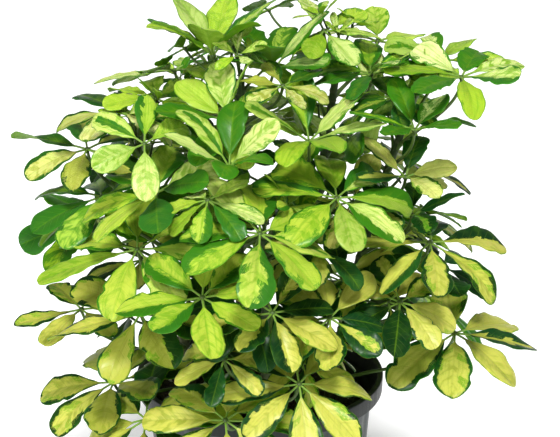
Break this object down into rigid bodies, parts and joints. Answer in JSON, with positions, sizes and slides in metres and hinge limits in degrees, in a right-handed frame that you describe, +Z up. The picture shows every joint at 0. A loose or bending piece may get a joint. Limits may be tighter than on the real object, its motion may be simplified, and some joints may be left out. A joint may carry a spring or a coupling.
{
  "type": "potted umbrella plant",
  "caption": "Bushy gold-variegated umbrella plant on thin canes, rooted in soil in a ribbed, rimmed nursery pot that stands on its flat base.",
  "frame": {"origin": "centre of the pot's underside, on the surface that it stands on", "axes": "+Z up along the pot's axis, -Y towards the front that the picture shows, +X to its right"},
  "size_m": [0.542, 0.5478, 0.653],
  "materials": {
    "pot": "satin",
    "soil": "matte",
    "cane": "matte",
    "leaf_lime": "satin",
    "leaf_green": "satin",
    "leaf_dark": "satin",
    "leaf_gold": "satin"
  },
  "bodies": {
    "root": {"cane_right": "cane", "cane_left": "cane", "cane_middle": "cane", "cane_tall": "cane", "cane_front": "cane", "cane_back": "cane", "pot": "pot", "soil": "soil", "leaf_front_3": "leaf_lime", "leaf_front_9": "leaf_gold", "leaf_front_7": "leaf_gold", "leaf_front_6": "leaf_gold", "leaf_front_4": "leaf_gold", "leaf_front_1": "leaf_lime", "leaf_front_5": "leaf_gold", "leaf_front_8": "leaf_gold", "leaf_middle_6": "leaf_lime", "leaf_left_7": "leaf_gold", "leaf_right_9": "leaf_gold", "leaf_left_6": "leaf_lime", "leaf_middle_5": "leaf_lime", "leaf_front_2": "leaf_lime", "leaf_right_8": "leaf_gold", "leaf_left_4": "leaf_lime", "leaf_left_9": "leaf_gold", "leaf_right_5": "leaf_green", "leaf_right_7": "leaf_dark", "leaf_tall_3": "leaf_lime", "leaf_right_10": "leaf_gold", "leaf_right_6": "leaf_gold", "leaf_middle_4": "leaf_lime", "leaf_middle_3": "leaf_gold", "leaf_right_4": "leaf_dark", "leaf_right_3": "leaf_lime", "leaf_left_8": "leaf_gold", "leaf_left_5": "leaf_green", "leaf_left_2": "leaf_gold", "leaf_middle_1": "leaf_lime", "leaf_right_1": "leaf_green", "leaf_left_3": "leaf_gold", "leaf_left_1": "leaf_lime", "leaf_right_2": "leaf_lime", "leaf_middle_2": "leaf_green", "leaf_tall_1": "leaf_lime", "leaf_back_3": "leaf_green", "leaf_tall_2": "leaf_lime", "leaf_tall_10": "leaf_green", "leaf_tall_6": "leaf_gold", "leaf_back_1": "leaf_lime", "leaf_tall_5": "leaf_green", "leaf_back_2": "leaf_lime", "leaf_tall_4": "leaf_lime", "leaf_tall_8": "leaf_gold", "leaf_back_6": "leaf_gold", "leaf_tall_11": "leaf_gold", "leaf_back_4": "leaf_gold", "leaf_tall_7": "leaf_green", "leaf_back_5": "leaf_lime", "leaf_tall_9": "leaf_gold", "leaf_back_7": "leaf_gold"}
  },
  "joints": []
}
